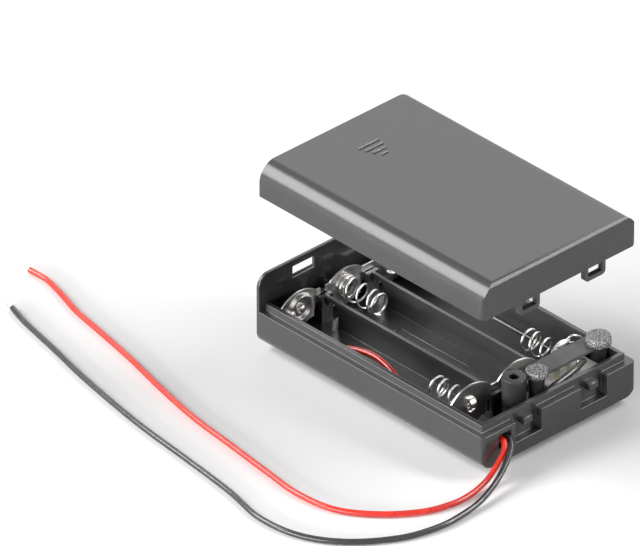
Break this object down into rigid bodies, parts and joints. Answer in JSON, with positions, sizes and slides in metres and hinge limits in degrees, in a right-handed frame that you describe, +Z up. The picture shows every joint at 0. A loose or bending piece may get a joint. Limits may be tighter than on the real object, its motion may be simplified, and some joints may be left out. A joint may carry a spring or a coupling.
{
  "type": "cylindrical cell holder",
  "caption": "Series battery case for small round cells, with a latched lid, spring contacts, a slide switch under one end and red and black leads.",
  "frame": {"origin": "middle of the case's footprint, on the surface that the case stands on, level with the tip of the switch knob", "axes": "+X along the cells, towards the end with the switch, the latches and the leads; +Y across the bays, away from the side whose corner the leads leave; +Z up, the way the lid lifts off"},
  "size_m": [0.126, 0.0835, 0.0434],
  "materials": {
    "case_plastic": "moulded black ABS, fine satin texture",
    "lid_plastic": "moulded black ABS, fine satin texture",
    "contact_plate": "nickel-plated spring steel, stamped",
    "spring_wire": "nickel-plated spring wire",
    "switch_steel": "nickel-plated steel, folded",
    "switch_board": "pale laminate",
    "terminal_plate": "silver-plated brass",
    "knob_plastic": "moulded black plastic",
    "wiper_metal": "spring brass",
    "cover_board": "grey insulating board",
    "tinned_copper": "tinned copper",
    "solder": "solder, bright",
    "red_insulation": "extruded PVC",
    "black_insulation": "extruded PVC"
  },
  "bodies": {
    "case": {"tray": "case_plastic", "contact_pos_bay1": "contact_plate", "contact_link_near": "contact_plate", "contact_link_far": "contact_plate", "contact_neg_bay3": "contact_plate", "spring_bay1": "spring_wire", "spring_bay2": "spring_wire", "spring_bay3": "spring_wire", "switch_frame": "switch_steel", "switch_base": "switch_board", "switch_terminal_spare": "terminal_plate", "switch_terminal_in": "terminal_plate", "switch_terminal_out": "terminal_plate", "cover_plate": "cover_board", "jumper_wire": "tinned_copper", "solder_red": "solder", "solder_black": "solder", "solder_jumper": "solder", "solder_switch": "solder", "red_lead_inside": "red_insulation", "black_lead_inside": "black_insulation", "red_lead": "red_insulation", "black_lead": "black_insulation", "red_lead_tip": "tinned_copper", "black_lead_tip": "tinned_copper"},
    "lid": {"lid": "lid_plastic"},
    "slider": {"switch_knob": "knob_plastic", "switch_wiper": "wiper_metal"}
  },
  "joints": [
    {"name": "lid_lift", "type": "slide", "parent": "case", "child": "lid", "axis": [0, 0, 1], "range_m": [-0.0268, 0]},
    {"name": "switch_slide", "type": "slide", "parent": "case", "child": "slider", "axis": [0, 1, 0], "range_m": [-0.004, 0]}
  ]
}
